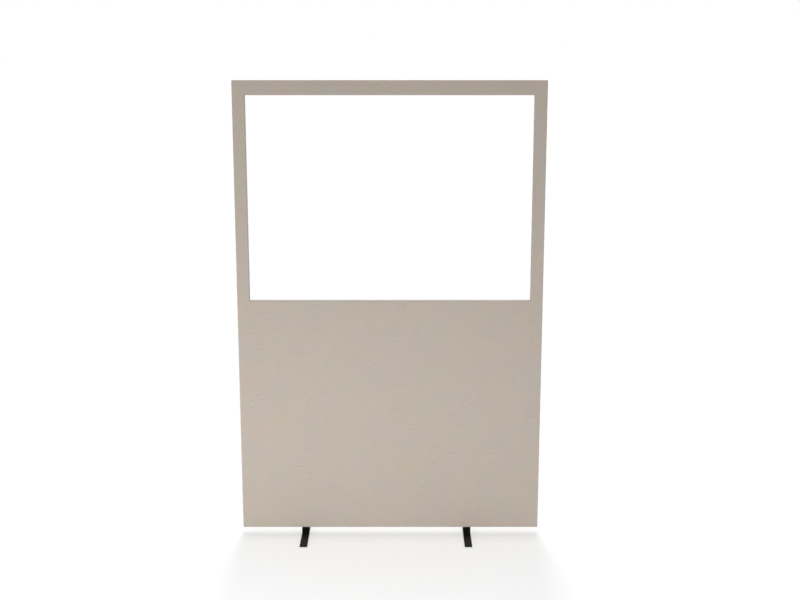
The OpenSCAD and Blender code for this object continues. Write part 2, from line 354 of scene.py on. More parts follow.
def turn_path(base, edge, radius, half_t, side, flat, inward):
    """Into a groove: a tight turn, then the hem beside what locks it."""
    path = []
    for t in arc(TURN_STEPS):
        flat += TURN_R * math.pi / 2 / TURN_STEPS * inward
        grow = base + edge * TURN_R * (1 - math.cos(t))
        path.append((grow, radius, side * (half_t + TURN_R * (1 - math.sin(t))), flat))
    for run in (0.4, 1.0):
        grow = base + edge * HEM * run
        path.append((grow, radius, side * half_t, flat + inward * (HEM * run - TURN_R)))
    return path


def window_path(side):
    """Over the window's edge: rounding, and the reveal down to the glazing channel."""
    path = [(WINDOW_EDGE_R - WINDOW_RIM, WINDOW_CORNER_R + WINDOW_EDGE_R, side * HALF_T, None)]
    flat = WINDOW_EDGE_R - WINDOW_RIM
    for t in arc(ROUND_STEPS):
        flat -= WINDOW_EDGE_R * math.pi / 2 / ROUND_STEPS
        back = WINDOW_EDGE_R * (1 - math.sin(t))
        y = side * (HALF_T - WINDOW_EDGE_R * (1 - math.cos(t)))
        path.append((back - WINDOW_RIM, WINDOW_CORNER_R + back, y, flat))
    start = HALF_T - WINDOW_EDGE_R
    end = CHANNEL_HALF_T + TURN_R
    for share in (0.5, 1.0):
        y = start + (end - start) * share
        path.append((-WINDOW_RIM, WINDOW_CORNER_R, side * y, flat - start + y))
    return path


def cloth_cover(name, side, node):
    """One cover: its face, half of each edge, the hems in the grooves and the reveals round the window."""
    def place(x, z):
        return (x, side * (HALF_T + relief(x, z, side)), z)

    rect = grown(PANEL, -RIM)
    sheet = WindowSheet(rect, grown(WINDOW, WINDOW_RIM), LATTICE_STEP, place)
    width = rect[1] - rect[0]
    height = rect[3] - rect[2]
    clear = 2 * MM
    seam = 0.15 * MM

    def upper_edges(edge, p):
        if edge == 0:
            return False
        return not (edge == 1 and p < clear) and not (edge == 3 and p > height - clear)

    def lower_edge(edge, p):
        return edge == 0 and clear < p < width - clear

    returns = outer_path(side)
    sheet.rings("outer", returns)
    end_of_return = list(sheet.loops["outer"])
    flat = returns[-1][3]
    sheet.rings("outer", turn_path(RIM, -1, CORNER_R * 0.5, SPLINE_HALF_T, side, flat, 1), upper_edges)
    sheet.loops["outer"] = end_of_return
    sheet.rings("outer", [(RIM, CORNER_R, side * seam, flat + SPLINE_HALF_T + TURN_R)], lower_edge)

    reveal = window_path(side)
    sheet.rings("window", reveal)
    flat_reveal = reveal[-1][3]
    sheet.rings("window", turn_path(-WINDOW_RIM, 1, WINDOW_CORNER_R, CHANNEL_HALF_T, side, flat_reveal, -1))

    sheet.face_outward(side)
    sheet.write_flat_map()
    cut = flat + HEM
    area = (width + 2 * cut) * (height + 2 * cut)
    opening = -flat_reveal + HEM - WINDOW_RIM
    area -= (WINDOW[1] - WINDOW[0] - 2 * opening) * (WINDOW[3] - WINDOW[2] - 2 * opening)
    piece = new_piece(name, sheet.bm, FABRIC)
    shell = piece.modifiers.new("thickness", "SOLIDIFY")
    shell.thickness = CLOTH_T
    shell.offset = -1
    settle(piece, smooth_angle=60)
    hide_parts(node)


def felt_sheet(name, side, node):
    """The felt wadding under one cover, with its window cut-out."""
    skin = 0.12 * MM
    face = -FELT_LOW.y - skin
    back = -FELT_HIGH.y + skin
    round_r = 2 * MM
    rim = 4 * MM
    step = 40 * MM
    unevenness = 0.1 * MM
    gap = 0.3 * MM
    felt_rect = (FELT_LOW.x, FELT_HIGH.x, FELT_LOW.z, FELT_HIGH.z)
    window = grown(WINDOW, CLOTH_T + gap)

    def place(x, z):
        return (x, side * (face + unevenness * noise.noise(Vector((x * 30, z * 30, side)))), z)

    sheet = WindowSheet(grown(felt_rect, -rim), grown(window, rim), step, place)
    outer = []
    inner = []
    for t in [0.0] + arc(4):
        y = side * (face - round_r * (1 - math.cos(t)))
        outer.append((rim - round_r * (1 - math.sin(t)), round_r * math.sin(t), y, None))
        inner.append((round_r * (1 - math.sin(t)) - rim, round_r, y, None))
    outer.append((rim, round_r, side * back, None))
    inner.append((-rim, round_r, side * back, None))
    sheet.rings("outer", outer)
    sheet.rings("window", inner)
    rear = sheet.lattice(lambda x, z: (x, side * back, z))
    for which in ("outer", "window"):
        front_edge = [vertex for vertex, _, _ in sheet.loops[which]]
        rear_edge = [vertex for vertex, _, _ in sheet.loop_round(getattr(sheet, which), rear)]
        band(sheet.bm, front_edge, rear_edge)
    bmesh.ops.recalc_face_normals(sheet.bm, faces=sheet.bm.faces)
    piece = new_piece(name, sheet.bm, FELT)
    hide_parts(node)


def batt(name, node):
    """A fibre batt that fills its bay: slightly crowned, with soft edges."""
    soft_depth = 1.6 * MM
    soft_run = 9 * MM
    clearance = 0.3 * MM
    tuft_height = 0.25 * MM
    edge_inset = 0.8 * MM
    cuts_by_axis = ((0, 14), (2, 22), (1, 2))
    low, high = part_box(node)
    size = high - low
    bm = bmesh.new()
    bmesh.ops.create_cube(bm, size=1)
    for axis, cuts in cuts_by_axis:
        edges = [e for e in bm.edges if abs((e.verts[0].co - e.verts[1].co)[axis]) > 0.5]
        bmesh.ops.subdivide_edges(bm, edges=edges, cuts=cuts, use_grid_fill=True)
    centre = (low + high) / 2
    for v in bm.verts:
        p = Vector((v.co.x * size.x, v.co.y * size.y, v.co.z * size.z))
        near = min(size.x / 2 - abs(p.x), size.z / 2 - abs(p.z))
        soft = soft_depth * math.exp(-near / soft_run)
        tuft = tuft_height * noise.noise((p + centre) * 45)
        p.y -= math.copysign(min(abs(p.y), soft + clearance + tuft), p.y)
        on_face = abs(v.co.y) > 0.49
        for axis in (0, 2):
            if on_face and size[axis] / 2 - abs(p[axis]) < MM:
                p[axis] -= math.copysign(edge_inset, p[axis])
        v.co = centre + p
    bmesh.ops.recalc_face_normals(bm, faces=bm.faces)
    piece = new_piece(name, bm, ABSORBER, smooth_angle=70)
    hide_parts(node)


# Edge splines and staples


def spline_profile(depth, half):
    """Outline of the spline as (outward, across): ribs that grip the hems, and a round lip."""
    nose = 0.4 * MM
    first_rib = 0.9 * MM
    rib_pitch = 1.9 * MM
    rib_run = 1.2 * MM
    step_run = 1.3 * MM
    neck_run = 1.8 * MM
    neck = half * 0.72
    tip = depth / 2
    profile = [(-depth / 2 + nose, -half * 0.55)]
    for i in range(3):
        root = -depth / 2 + first_rib + rib_pitch * i
        profile += [(root, -half), (root + rib_run, -half)]
        profile += [(root + step_run, -neck), (root + neck_run, -neck)]
    profile.append((tip - half, -half))
    for a in arc(5):
        profile.append((tip - half + half * math.sin(a), -half * math.cos(a)))
    return profile + [(d, -o) for d, o in reversed(profile[:-1])]


def edge_spline(name, node, along, out):
    """A spline along one edge, its lip just below the cloth. along and out are unit vectors."""
    play = 0.12 * MM
    hair = 0.06 * MM
    station = 30 * MM
    low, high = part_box(node)
    centre = (low + high) / 2
    size = high - low
    length = abs(size.dot(along))
    across = Vector((0, 1, 0))
    profile = spline_profile(abs(size.dot(out)), SPLINE_HALF_T - hair)
    bm = bmesh.new()
    stations = max(2, round(length / station))
    rows = []
    for k in range(stations + 1):
        base = centre + along * (-length / 2 + length * k / stations)
        wander = play * noise.noise(base * 9)
        rows.append([bm.verts.new(base + out * (d + wander - play) + across * o) for d, o in profile])
    for a, b in zip(rows, rows[1:]):
        band(bm, a, b)
    bm.faces.new(rows[0])
    bm.faces.new(reversed(rows[-1]))
    bmesh.ops.recalc_face_normals(bm, faces=bm.faces)
    piece = new_piece(name, bm, VINYL)
    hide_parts(node)


def tube(bm, points, radius, sides=8):
    """A closed tube along points."""
    angles = [2 * math.pi * i / sides for i in range(sides)]
    circle = [Vector((radius * math.cos(a), radius * math.sin(a), 0)) for a in angles]
    rows = []
    for k, p in enumerate(points):
        ahead = points[min(k + 1, len(points) - 1)] - points[max(k - 1, 0)]
        turn = ahead.to_track_quat("Z", "Y")
        rows.append([bm.verts.new(p + turn @ spoke) for spoke in circle])
    for a, b in zip(rows, rows[1:]):
        band(bm, a, b)
    bm.faces.new(reversed(rows[0]))
    bm.faces.new(rows[-1])


def bar_middle(side):
    """The x at the middle of a foot bar."""
    low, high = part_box(f"foot_bar_{side}")
    return (low.x + high.x) / 2


def staple_shape():
    """Middle line of a staple as (across, up): two short legs and the crown below them."""
    half_crown = 5 * MM
    leg = 7 * MM
    bend = 1 * MM
    shape = [(-half_crown, leg)]
    shape += [(-half_crown + bend * (1 - math.cos(a)), bend * (1 - math.sin(a))) for a in [0] + arc(3)]
    return shape + [(-x, z) for x, z in reversed(shape)]


def hem_staples():
    """Wire staples that hold both covers' lower edges to the bottom rail."""
    wire = 0.5 * MM
    pitch = 55 * MM
    row_y = 6.5 * MM
    margin = 24 * MM
    clear_of_foot = 26 * MM
    astray_mm = 3
    aside_mm = 0.8
    askew = 0.12
    feet = [bar_middle(side) for side in SIDES]
    shape = staple_shape()
    run = PANEL[1] - PANEL[0] - 2 * margin
    count = int(run / pitch)
    bm = bmesh.new()
    for row in (FRONT, REAR):
        for i in range(count + 1):
            x = PANEL[0] + margin + i * run / count
            x += random.uniform(-astray_mm, astray_mm) * MM
            y = row * row_y + random.uniform(-aside_mm, aside_mm) * MM
            turn = Matrix.Rotation(random.uniform(-askew, askew), 3, "Z")
            if min(abs(x - foot) for foot in feet) < clear_of_foot:
                continue
            base = Vector((x, y, PANEL[2] - wire * 0.6))
            tube(bm, [base + turn @ Vector((dx, 0, dz)) for dx, dz in shape], wire)
    bmesh.ops.recalc_face_normals(bm, faces=bm.faces)
    new_piece("hem_staples", bm, STEEL)


# Window


def clear_pane():
    """The pane, with its sharp edges broken and a hair of air between it and the channel's walls."""
    air = 0.1 * MM
    broken_edge = 0.4 * MM
    low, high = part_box("window_pane")
    centre = (low + high) / 2
    size = high - low - 2 * Vector((air, air, air))
    bm = bmesh.new()
    bmesh.ops.create_cube(bm, size=1)
    for v in bm.verts:
        v.co = centre + Vector([v.co[i] * size[i] for i in range(3)])
    bmesh.ops.bevel(bm, geom=bm.edges[:], offset=broken_edge, segments=2, affect="EDGES", profile=0.5)
    piece = new_piece("clear_pane", bm, ACRYLIC, smooth_angle=50)
    keep_flats(piece)
    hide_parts("window_pane")


# Feet


def plan_outline(half_w, half_l, radius, steps=6):
    """Outline of a rectangle with round corners, seen from above."""
    points = []
    for k, (sx, sy) in enumerate(((1, 1), (-1, 1), (-1, -1), (1, -1))):
        for i in range(steps + 1):
            a = math.pi / 2 * (k + i / steps)
            x = sx * (half_w - radius) + radius * math.cos(a)
            y = sy * (half_l - radius) + radius * math.sin(a)
            points.append((x, y))
    return points


def bevelled_slab(bm, centre, half_w, half_l, corner, z0, z1, bevels, steps=4):
    """A slab with round corners and edges rounded by a radius at its foot and another at its top."""
    least_corner = 0.2 * MM
    levels = []
    for a in [0.0] + arc(steps):
        levels.append((z0 + bevels[0] * (1 - math.cos(a)), bevels[0] * (1 - math.sin(a))))
    for a in reversed([0.0] + arc(steps)):
        levels.append((z1 - bevels[1] * (1 - math.cos(a)), bevels[1] * (1 - math.sin(a))))
    rows = []
    for z, inset in levels:
        outline = plan_outline(half_w - inset, half_l - inset, max(corner - inset, least_corner))
        rows.append([bm.verts.new((centre[0] + x, centre[1] + y, z)) for x, y in outline])
    for a, b in zip(rows, rows[1:]):
        band(bm, a, b)
    bm.faces.new(reversed(rows[0]))
    bm.faces.new(rows[-1])


def revolved(bm, centre, profile, steps=48):
    """A closed solid of revolution. profile runs from the axis at the foot to the axis at the top."""
    angles = [2 * math.pi * i / steps for i in range(steps)]
    rows = []
    for r, z in profile:
        if r == 0:
            rows.append([bm.verts.new((centre[0], centre[1], z))])
        else:
            circle = [(centre[0] + r * math.cos(a), centre[1] + r * math.sin(a), z) for a in angles]
            rows.append([bm.verts.new(at) for at in circle])
    for a, b in zip(rows, rows[1:]):
        for i in range(steps):
            n = (i + 1) % steps
            if len(a) == 1:
                bm.faces.new([a[0], b[n], b[i]])
            elif len(b) == 1:
                bm.faces.new([a[i], a[n], b[0]])
            else:
                bm.faces.new([a[i], a[n], b[n], b[i]])


def drill(piece, centre, profile):
    """Takes a solid of revolution out of a piece."""
    bm = bmesh.new()
    revolved(bm, centre, profile)
    mesh = bpy.data.meshes.new("drill")
    bm.to_mesh(mesh)
    bm.free()
    tool = bpy.data.objects.new("drill", mesh)
    bpy.context.scene.collection.objects.link(tool)
    cut = piece.modifiers.new("hole", "BOOLEAN")
    cut.operation = "DIFFERENCE"
    cut.solver = "EXACT"
    cut.object = tool
    settle(piece)
    bpy.data.objects.remove(tool)
    bpy.data.meshes.remove(mesh)


def foot_bar(side):
    """Flat bar with broken edges, countersunk from below for its bolt."""
    corner = 2 * MM
    bevels = (0.5 * MM, 0.8 * MM)
    head_r = 8.15 * MM
    shank_r = 4.5 * MM
    node = f"foot_bar_{side}"
    low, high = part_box(node)
    centre = (low + high) / 2
    bm = bmesh.new()
    bevelled_slab(bm, centre, (high.x - low.x) / 2, (high.y - low.y) / 2, corner, low.z, high.z, bevels)
    piece = new_piece(f"toe_bar_{side}", bm, POWDER, smooth_angle=30)
    drill(piece, centre, [
        (0, low.z - MM),
        (head_r + MM, low.z - MM),
        (head_r, low.z),
        (shank_r, low.z + head_r - shank_r),
        (shank_r, high.z + MM),
        (0, high.z + MM),
    ])
    keep_flats(piece)
    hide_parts(node)


def weld_bead(bm, centre, z, half_w, front_y, way, leg):
    """A fillet of overlapping ripples along the foot of a block, on its FRONT or REAR."""
    ripple = 1.7 * MM
    end_run = 1.6 * MM
    root = 0.4 * MM
    lean = 0.55 * MM
    swelling = 0.112
    least_end = 0.05
    trough = 0.93
    crest = 0.09
    stations = 72
    section = 8
    rows = []
    for k in range(stations + 1):
        s = -half_w + 2 * half_w * k / stations
        end = min(1.0, (half_w - abs(s)) / end_run)
        rise = trough + crest * abs(math.sin(math.pi * s / ripple))
        size = leg * rise * math.sqrt(max(least_end, 1 - (1 - end) ** 2))
        row = [Vector((s, root, -root))]
        for i in range(section + 1):
            t = i / section
            swell = math.sin(math.pi * t)
            bulge = swelling * size * swell
            row.append(Vector((s + lean * swell * end, -size * t - bulge, size * (1 - t) + bulge)))
        rows.append([bm.verts.new((centre.x + p.x, front_y + way * -p.y, z + p.z)) for p in row])
    for a, b in zip(rows, rows[1:]):
        band(bm, a, b)
    bm.faces.new(rows[0])
    bm.faces.new(reversed(rows[-1]))


def foot_block(side):
    """Block between the bar and the panel, with its two weld beads."""
    leg = 2.7 * MM
    room_for_weld = 3 * MM
    bead_share = 0.9
    corner = 1.5 * MM
    bevels = (0.2 * MM, 0.5 * MM)
    node = f"foot_block_{side}"
    low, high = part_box(node)
    centre = (low + high) / 2
    half_d = (high.y - low.y) / 2 - room_for_weld
    half_w = (high.x - low.x) / 2
    bm = bmesh.new()
    bevelled_slab(bm, centre, half_w, half_d, corner, low.z, high.z, bevels)
    for way in (FRONT, REAR):
        weld_bead(bm, centre, low.z, half_w * bead_share, centre.y + way * half_d, way, leg)
    bmesh.ops.recalc_face_normals(bm, faces=bm.faces)
    piece = new_piece(f"riser_block_{side}", bm, POWDER, smooth_angle=35)
    keep_flats(piece)
    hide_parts(node)


def glide_pads():
    """Moulded pads under the ends of the bars, with a soft rim and a shallow dished ring."""
    low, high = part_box("foot_glides")
    top = high.z - low.z
    pad_r = 11 * MM
    bevel = 0.3 * MM
    underside_mm = ((0, 0.25), (5, 0.25), (5.6, 0), (9.6, 0), (10.3, 0.12), (10.8, 0.4), (11, 0.9))
    profile = [(r * MM, z * MM) for r, z in underside_mm]
    profile += [(pad_r, top - bevel), (pad_r - bevel, top), (0, top)]
    bm = bmesh.new()
    for side in SIDES:
        for y in (low.y + pad_r, high.y - pad_r):
            revolved(bm, (bar_middle(side), y), profile)
    bmesh.ops.recalc_face_normals(bm, faces=bm.faces)
    piece = new_piece("glide_pads", bm, RUBBER)
    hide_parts("foot_glides")


# Materials


class Nodes:
    """Adds shader nodes to a tree. Most of its methods give the output socket of what they add."""

    def __init__(self, tree):
        self.nodes = tree.nodes
        self.links = tree.links

    def add(self, kind):
        return self.nodes.new("ShaderNode" + kind)

    def feed(self, socket, value):
        """Links a socket to another, or sets it to a constant."""
        if isinstance(value, bpy.types.NodeSocket):
            self.links.new(value, socket)
        elif value is not None:
            socket.default_value = value

    def math(self, operation, *values, clamp=False):
        node = self.add("Math")
        node.operation = operation
        node.use_clamp = clamp
        for socket, value in zip(node.inputs, values):
            self.feed(socket, value)
        return node.outputs[0]

    def times(self, value, factor):
        return self.math("MULTIPLY", value, factor)

    def vector(self, operation, a, b):
        """A sum on two vectors: a vector, or the number that a dot product gives."""
        node = self.add("VectorMath")
        node.operation = operation
        self.feed(node.inputs[0], a)
        self.feed(node.inputs[1], b)
        return node.outputs["Value" if operation == "DOT_PRODUCT" else "Vector"]

    def scaled(self, vector, scale):
        return self.vector("MULTIPLY", vector, scale)

    def split(self, vector):
        node = self.add("SeparateXYZ")
        self.feed(node.inputs[0], vector)
        return node.outputs

    def join(self, x=0.0, y=0.0, z=0.0):
        node = self.add("CombineXYZ")
        for socket, value in zip(node.inputs, (x, y, z)):
            self.feed(socket, value)
        return node.outputs[0]

    def place(self):
        """Position in the frame, in metres."""
        return self.add("TexCoord").outputs["Object"]

    def noise(self, vector, scale=1.0, detail=2.0, roughness=0.5):
        node = self.add("TexNoise")
        self.feed(node.inputs["Vector"], vector)
        node.inputs["Scale"].default_value = scale
        node.inputs["Detail"].default_value = detail
        node.inputs["Roughness"].default_value = roughness
        return node.outputs["Fac"]

    def range(self, value, low, high, to_low=0.0, to_high=1.0):
        node = self.add("MapRange")
        node.clamp = True
        limits = {"From Min": low, "From Max": high, "To Min": to_low, "To Max": to_high}
        for name, number in limits.items():
            node.inputs[name].default_value = number
        self.feed(node.inputs["Value"], value)
        return node.outputs[0]

    def colours(self, value, *stops):
        """A colour ramp through (position, colour) stops."""
        node = self.add("ValToRGB")
        ramp = node.color_ramp
        while len(ramp.elements) < len(stops):
            ramp.elements.new(0.5)
        for element, (position, colour) in zip(ramp.elements, stops):
            element.position = position
            element.color = (*colour, 1)
        self.feed(node.inputs[0], value)
        return node.outputs[0]

    def blend(self, share, a, b, kind="MIX"):
        """A mix of two colours. The node's sockets 6 and 7 take them, and its output 2 gives the mix."""
        node = self.add("Mix")
        node.data_type = "RGBA"
        node.blend_type = kind
        self.feed(node.inputs[0], share)
        for socket, value in ((node.inputs[6], a), (node.inputs[7], b)):
            self.feed(socket, (*value, 1) if isinstance(value, tuple) else value)
        return node.outputs[2]

    def grey(self, kind, level):
        """A shader of one grey, such as a matte surface."""
        node = self.add(kind)
        node.inputs["Color"].default_value = (level, level, level, 1)
        return node.outputs[0]

    def glow(self, kind, strength):
        """White light from a surface or from the world."""
        node = self.add(kind)
        node.inputs["Color"].default_value = (1, 1, 1, 1)
        self.feed(node.inputs["Strength"], strength)
        return node.outputs[0]

    def mixed(self, share, a, b):
        """A mix of two shaders."""
        node = self.add("MixShader")
        for socket, value in zip(node.inputs, (share, a, b)):
            self.feed(socket, value)
        return node.outputs[0]

    def seen_directly(self):
        """1 for rays from the camera, and for those that glass or a gloss sends on from it."""
        path = self.add("LightPath")
        value = path.outputs["Is Camera Ray"]
        for name in ("Is Glossy Ray", "Is Transmission Ray"):
            value = self.math("MAXIMUM", value, path.outputs[name])
        return value


class Paint(Nodes):
    """A material under construction."""

    def __init__(self, name):
        self.material = bpy.data.materials.new(name)
        self.material.use_nodes = True
        super().__init__(self.material.node_tree)
        self.shader = self.nodes["Principled BSDF"]

    def set(self, **values):
        """Sets sockets of the shader, by name with _ for a space."""
        for name, value in values.items():
            self.feed(self.shader.inputs[name.replace("_", " ")], value)

    def bump(self, height, distance, strength=1.0):
        node = self.add("Bump")
        node.inputs["Distance"].default_value = distance
        node.inputs["Strength"].default_value = strength
        self.feed(node.inputs["Height"], height)
        self.feed(self.shader.inputs["Normal"], node.outputs[0])

    def finish(self, surface):
        """Shows another surface in place of the shader alone."""
        self.links.new(surface, self.nodes["Material Output"].inputs[0])


def crossing_yarns(p, across, along, column, row):
    """Height of the upper yarn, from 0 to 1, and 1 where that is the warp. A place is counted in yarns."""
    lift = 0.5

    def rounded(place):
        """Height of a yarn's round back, from 0 at its sides to 1."""
        off_centre = p.math("MULTIPLY_ADD", p.math("FRACT", place), 2.0, -1.0)
        square = p.times(off_centre, off_centre)
        return p.math("SQRT", p.math("SUBTRACT", 1.0, square, clamp=True))

    def wave(place, crossed):
        """Rise and fall of a yarn over and under those that it crosses, half a wave off the next yarn."""
        return p.math("SINE", p.times(p.math("ADD", place, crossed), math.pi))

    warp = p.math("MULTIPLY_ADD", wave(along, column), lift, rounded(across))
    weft = p.math("MULTIPLY_ADD", wave(across, row), -lift, rounded(along))
    height = p.math("DIVIDE", p.math("MAXIMUM", warp, weft), 1 + lift)
    return height, p.math("GREATER_THAN", warp, weft)


def faint_tint(p, colour, vector, scale, low, high):
    """Multiplies a colour by a tint that drifts between two over the cloth."""
    drift = p.noise(vector, scale, 1.0, 0.5)
    return p.blend(1.0, colour, p.colours(drift, (0.35, low), (0.65, high)), "MULTIPLY")


def woven_fabric():
    """Plain weave of melange yarn, each yarn's tone varying along its length, with slubs, faint patches and
    painted shade: dark dashes along the weft and darkening in the hollows between yarns.
    """
    yarn = 1.15 * MM
    p = Paint("melange_weave")
    cloth = p.add("UVMap")
    cloth.uv_map = "cloth"
    u, v, _ = p.split(cloth.outputs[0])
    wander = p.times(p.math("SUBTRACT", p.noise(p.join(u, v), 90.0), 0.5), 0.9)
    across = p.math("ADD", p.math("DIVIDE", u, yarn), wander)
    along = p.math("ADD", p.math("DIVIDE", v, yarn), wander)
    column = p.math("FLOOR", across)
    row = p.math("FLOOR", along)
    height, warp_on_top = crossing_yarns(p, across, along, column, row)

    def choose(on_warp, on_weft):
        return p.math("MULTIPLY_ADD", warp_on_top, p.math("SUBTRACT", on_warp, on_weft), on_weft)

    tone = choose(
        p.noise(p.join(p.times(column, 1.7), p.times(v, 320.0))),
        p.noise(p.join(p.times(u, 320.0), p.times(row, 1.7), 5.0)),
    )
    colour = p.colours(
        tone,
        (0.30, (0.503, 0.442, 0.389)),
        (0.50, (0.545, 0.480, 0.425)),
        (0.70, (0.587, 0.520, 0.462)),
    )

    # The noise of the slubs steps from yarn to yarn and is drawn out along each
    warp_run = p.times(v, 30.0)
    weft_run = p.times(u, 26.0)
    side_of_warp = p.times(column, 0.17)
    side_of_weft = p.times(row, 0.17)
    warp_slub = p.range(p.noise(p.join(side_of_warp, warp_run, 9.0)), 0.68, 0.72)
    weft_slub = p.range(p.noise(p.join(weft_run, side_of_weft)), 0.66, 0.70)
    # Painted shade: dark dashes along the weft that stand for the shadow line under a raised slub
    painted_slub_shadow = p.range(p.noise(p.join(weft_run, side_of_weft, 4.0)), 0.645, 0.685)
    slub = choose(warp_slub, weft_slub)
    colour = p.blend(p.times(slub, 0.45), colour, (0.70, 0.64, 0.575))
    # Painted shade: the slub shadow dashes are laid on in dark brown
    colour = p.blend(p.times(choose(0.0, painted_slub_shadow), 0.60), colour, (0.36, 0.30, 0.25))

    # Pink to green, then yellow to blue
    colour = faint_tint(p, colour, p.join(u, v, 2.0), 10.0, (1.0, 0.970, 0.980), (0.970, 0.992, 0.965))
    colour = faint_tint(p, colour, p.join(u, v, 8.0), 8.0, (1.0, 0.995, 0.955), (0.982, 0.990, 1.0))
    # Painted shade: the colour darkens where the weave is low, in the hollows between the yarns
    shade = p.math("MULTIPLY_ADD", height, 0.30, 0.735)
    colour = p.blend(1.0, colour, p.join(shade, shade, shade), "MULTIPLY")
    p.bump(p.math("ADD", p.math("MULTIPLY_ADD", slub, 0.4, height), p.times(tone, 0.3)), 0.36 * MM, 0.8)
    p.set(Base_Color=colour, Roughness=p.range(height, 0.2, 1.0, 0.98, 0.86), Specular_IOR_Level=0.2,
          Sheen_Weight=0.12, Sheen_Roughness=0.5, Sheen_Tint=(0.95, 0.92, 0.88, 1))
    return p.material


def powder_coat():
    """Black powder coat on steel: fine orange peel and faint cloudiness."""
    p = Paint("black_powder_coat")
    place = p.place()
    cloud = p.noise(place, 60.0, 3.0)
    peel = p.noise(place, 1400.0, 2.0, 0.6)
    p.bump(peel, 0.10 * MM, 0.5)
    p.set(Base_Color=p.colours(cloud, (0.35, (0.004, 0.004, 0.0035)), (0.70, (0.008, 0.0075, 0.006))),
          Roughness=p.range(p.noise(place, 220.0, 3.0), 0.3, 0.7, 0.30, 0.42), Specular_IOR_Level=0.1)
    return p.material


def rubber():
    p = Paint("moulded_rubber")
    place = p.place()
    grain = p.noise(place, 900.0, 3.0, 0.7)
    p.bump(grain, 0.08 * MM, 0.6)
    cloud = p.noise(place, 120.0)
    p.set(Base_Color=p.colours(cloud, (0.3, (0.020, 0.019, 0.018)), (0.7, (0.040, 0.038, 0.035))),
          Roughness=p.range(grain, 0.3, 0.7, 0.72, 0.92))
    return p.material


def metal(name, tint, dark, roughness, scratch):
    """Turned or drawn metal with fine marks along it."""
    p = Paint(name)
    marks = p.noise(p.scaled(p.place(), scratch), 1.0, 3.0, 0.6)
    p.bump(marks, 0.03 * MM, 0.5)
    p.set(Base_Color=p.colours(marks, (0.3, dark), (0.7, tint)), Metallic=1.0,
          Roughness=p.range(marks, 0.3, 0.7, *roughness))
    return p.material


def extruded_plastic(name, pale, dark, draw, roughness):
    """Extruded vinyl, with faint die lines along its length."""
    p = Paint(name)
    place = p.place()
    lines = p.noise(p.scaled(place, draw), 1.0, 2.0, 0.5)
    p.bump(lines, 0.05 * MM, 0.5)
    p.set(Base_Color=p.colours(p.noise(place, 35.0, 3.0), (0.3, dark), (0.7, pale)),
          Roughness=p.range(lines, 0.3, 0.7, *roughness))
    return p.material


def acrylic():
    """Clear sheet that lets the lamps through, with a trace of smudging."""
    p = Paint("clear_acrylic")
    smudge = p.noise(p.place(), 7.0, 4.0, 0.6)
    p.set(Base_Color=(1, 1, 1, 1), Roughness=p.range(smudge, 0.45, 0.75, 0.002, 0.01),
          Transmission_Weight=1.0, IOR=1.49)
    clear = p.add("BsdfTransparent")
    clear.inputs[0].default_value = (0.94, 0.95, 0.95, 1)
    shadow_ray = p.add("LightPath").outputs["Is Shadow Ray"]
    p.finish(p.mixed(shadow_ray, p.shader.outputs[0], clear.outputs[0]))
    return p.material


def timber(name, grain, early, late):
    """Planed softwood or beech, its grain stretched along the piece. grain is the scale along each axis."""
    p = Paint(name)
    place = p.place()
    between = tuple((a + b) / 2 for a, b in zip(early, late))
    streak = p.noise(p.scaled(place, grain), 1.0, 6.0, 0.62)
    fibre = p.noise(p.scaled(place, tuple(8 * g for g in grain)), 1.0, 3.0, 0.7)
    colour = p.colours(streak, (0.36, early), (0.50, between), (0.64, late))
    p.bump(fibre, 0.12 * MM, 0.5)
    p.set(Base_Color=p.blend(p.times(fibre, 0.25), colour, late),
          Roughness=p.range(fibre, 0.3, 0.7, 0.62, 0.80))
    return p.material


def fibres(name, pale, dark, scale, lean):
    """Matted fibre: felt or absorbent batt."""
    p = Paint(name)
    mat = p.noise(p.scaled(p.place(), lean), scale, 6.0, 0.72)
    p.bump(mat, 0.5 * MM, 0.8)
    p.set(Base_Color=p.colours(mat, (0.32, dark), (0.68, pale)), Roughness=p.range(mat, 0.3, 0.7, 0.9, 1.0),
          Sheen_Weight=0.2, Sheen_Roughness=0.6)
    return p.material


# The pieces that the frame keeps


def dress(material, *nodes):
    """Gives CAD nodes a material."""
    for node in nodes:
        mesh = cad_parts[node].data
        mesh.materials.clear()
        mesh.materials.append(material)


def dress_frame():
    """Timber, channel and small fixings."""
    pine_early = (0.66, 0.46, 0.26)
    pine_late = (0.50, 0.30, 0.14)
    pine_upright = timber("pine_upright", (70.0, 70.0, 4.0), pine_early, pine_late)
    pine_level = timber("pine_level", (4.0, 70.0, 70.0), pine_early, pine_late)
    beech = timber("beech", (30.0, 110.0, 30.0), (0.58, 0.38, 0.21), (0.46, 0.27, 0.13))
    dress(pine_upright, "stile_left", "stile_right", "centre_stud")
    dress(pine_level, "top_rail", "middle_rail", "bottom_rail")
    dress(beech, "frame_dowels")

    channel = ((0.78, 0.77, 0.74), (0.70, 0.69, 0.66))
    shine = (0.28, 0.42)
    vinyl_level = extruded_plastic("channel_vinyl_level", *channel, (3.0, 900.0, 900.0), shine)
    vinyl_upright = extruded_plastic("channel_vinyl_upright", *channel, (900.0, 900.0, 3.0), shine)
    dress(vinyl_level, "glazing_channel_top", "glazing_channel_bottom")
    dress(vinyl_upright, "glazing_channel_left", "glazing_channel_right")

    black = ((0.060, 0.058, 0.055), (0.035, 0.034, 0.033))
    yellow = ((0.62, 0.42, 0.16), (0.50, 0.33, 0.12))
    dress(metal("blackened_steel", *black, (0.32, 0.5), (600.0, 600.0, 120.0)), "foot_bolts")
    dress(metal("brass", *yellow, (0.25, 0.4), (90.0, 90.0, 900.0)), "threaded_inserts")
    dress(STEEL, "locating_pins")


# Floor, world, lamps and camera


